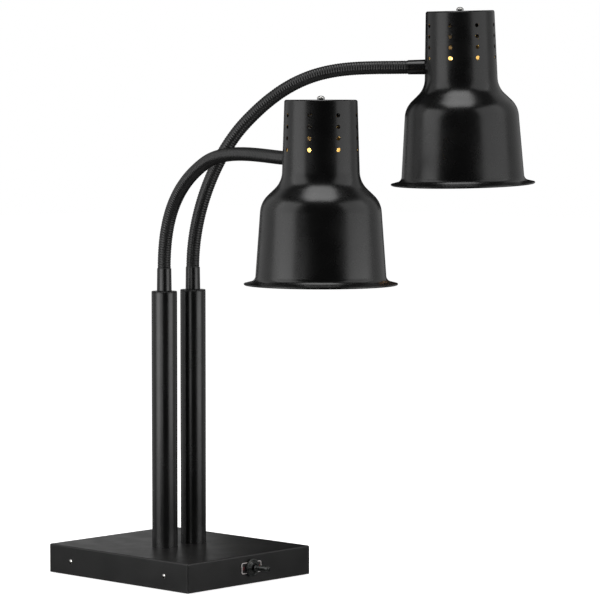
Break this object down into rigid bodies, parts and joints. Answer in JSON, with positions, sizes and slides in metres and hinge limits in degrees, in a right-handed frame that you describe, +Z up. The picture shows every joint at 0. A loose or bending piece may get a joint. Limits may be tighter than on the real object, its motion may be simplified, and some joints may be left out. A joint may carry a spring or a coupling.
{
  "type": "heat lamp warmer",
  "caption": "Countertop food warmer: bell-shaped heat lamp shades on goosenecks over a flat weighted base, with a toggle switch on its front.",
  "frame": {"origin": "middle of the whole object's bounding box in X and Y, at the level that its feet stand on", "axes": "+Z up; -Y is the front, the side of the base with the switch, which the lamps hang out over; +X to the right seen from the front"},
  "size_m": [0.5836, 0.6826, 0.8682],
  "materials": {
    "black_coat": "satin",
    "neck_coat": "satin",
    "shade_coat": "satin",
    "zinc_steel": "satin",
    "bright_steel": "polished",
    "rubber": "matte",
    "dark_plastic": "matte",
    "wire_sheath": "matte",
    "porcelain": "gloss",
    "cap_brass": "satin",
    "bulb_glass": "gloss"
  },
  "bodies": {
    "base": {"base_shell": "black_coat", "post_left": "black_coat", "post_right": "black_coat", "post_cap_left": "black_coat", "post_cap_right": "black_coat", "bottom_pan": "zinc_steel", "ballast_plate": "zinc_steel", "ballast_bolt_front": "zinc_steel", "ballast_bolt_rear": "zinc_steel", "post_lock_ring_left": "zinc_steel", "post_lock_ring_right": "zinc_steel", "side_screw_left_front": "bright_steel", "side_screw_left_rear": "bright_steel", "side_screw_right_front": "bright_steel", "side_screw_right_rear": "bright_steel", "switch_legend_plate": "bright_steel", "switch_nut": "bright_steel", "foot_front_left": "rubber", "foot_front_right": "rubber", "foot_rear_left": "rubber", "foot_rear_right": "rubber", "switch_boot": "rubber", "switch_body": "dark_plastic", "gland_body": "dark_plastic", "gland_lock_nut": "dark_plastic", "gland_cap": "dark_plastic", "inlet_lead": "wire_sheath", "switch_lead": "wire_sheath", "terminal_block": "porcelain"},
    "left_arm": {"ferrule_lower_left": "black_coat", "ferrule_lower_nut_left": "zinc_steel", "neck_lower_left": "neck_coat"},
    "left_reach": {"neck_upper_left": "neck_coat"},
    "left_head": {"ferrule_upper_left": "black_coat", "ferrule_upper_nut_left": "zinc_steel", "shade_left": "shade_coat", "shade_washer_left": "rubber", "dome_nut_left": "bright_steel", "hanger_bolt_left": "zinc_steel", "socket_bracket_left": "zinc_steel", "lamp_socket_left": "porcelain", "bulb_cap_left": "cap_brass", "bulb_glass_left": "bulb_glass"},
    "right_arm": {"ferrule_lower_right": "black_coat", "ferrule_lower_nut_right": "zinc_steel", "neck_lower_right": "neck_coat"},
    "right_reach": {"neck_upper_right": "neck_coat"},
    "right_head": {"ferrule_upper_right": "black_coat", "ferrule_upper_nut_right": "zinc_steel", "shade_right": "shade_coat", "shade_washer_right": "rubber", "dome_nut_right": "bright_steel", "hanger_bolt_right": "zinc_steel", "socket_bracket_right": "zinc_steel", "lamp_socket_right": "porcelain", "bulb_cap_right": "cap_brass", "bulb_glass_right": "bulb_glass"},
    "toggle": {"switch_lever": "bright_steel", "switch_sleeve": "rubber"}
  },
  "joints": [
    {"name": "left_arm_swing", "type": "hinge", "parent": "base", "child": "left_arm", "pos_m": [-0.10507, 0.16776, 0.439], "axis": [0, 0, 1], "range_deg": [-80, 4]},
    {"name": "left_arm_lift", "type": "hinge", "parent": "left_arm", "child": "left_reach", "pos_m": [-0.11019, 0.14143, 0.57032], "axis": [-0.9816, 0.1908, 0], "range_deg": [-30, 25], "deforming": ["neck_lower_left"]},
    {"name": "left_head_tilt", "type": "hinge", "parent": "left_reach", "child": "left_head", "pos_m": [-0.14803, -0.05327, 0.64971], "axis": [-0.9816, 0.1908, 0], "range_deg": [-35, 25], "deforming": ["neck_upper_left"]},
    {"name": "right_arm_swing", "type": "hinge", "parent": "base", "child": "right_arm", "pos_m": [-0.04407, 0.16776, 0.439], "axis": [0, 0, 1], "range_deg": [-4, 80]},
    {"name": "right_arm_lift", "type": "hinge", "parent": "right_arm", "child": "right_reach", "pos_m": [-0.03157, 0.14774, 0.59589], "axis": [-0.848, -0.5299, 0], "range_deg": [-30, 25], "deforming": ["neck_lower_right"]},
    {"name": "right_head_tilt", "type": "hinge", "parent": "right_reach", "child": "right_head", "pos_m": [0.06423, -0.00557, 0.76993], "axis": [-0.848, -0.5299, 0], "range_deg": [-35, 25], "deforming": ["neck_upper_right"]},
    {"name": "switch_toggle", "type": "hinge", "parent": "base", "child": "toggle", "pos_m": [-0.07257, 0.01176, 0.0265], "axis": [0, 0, 1], "range_deg": [-24, 0]}
  ]
}
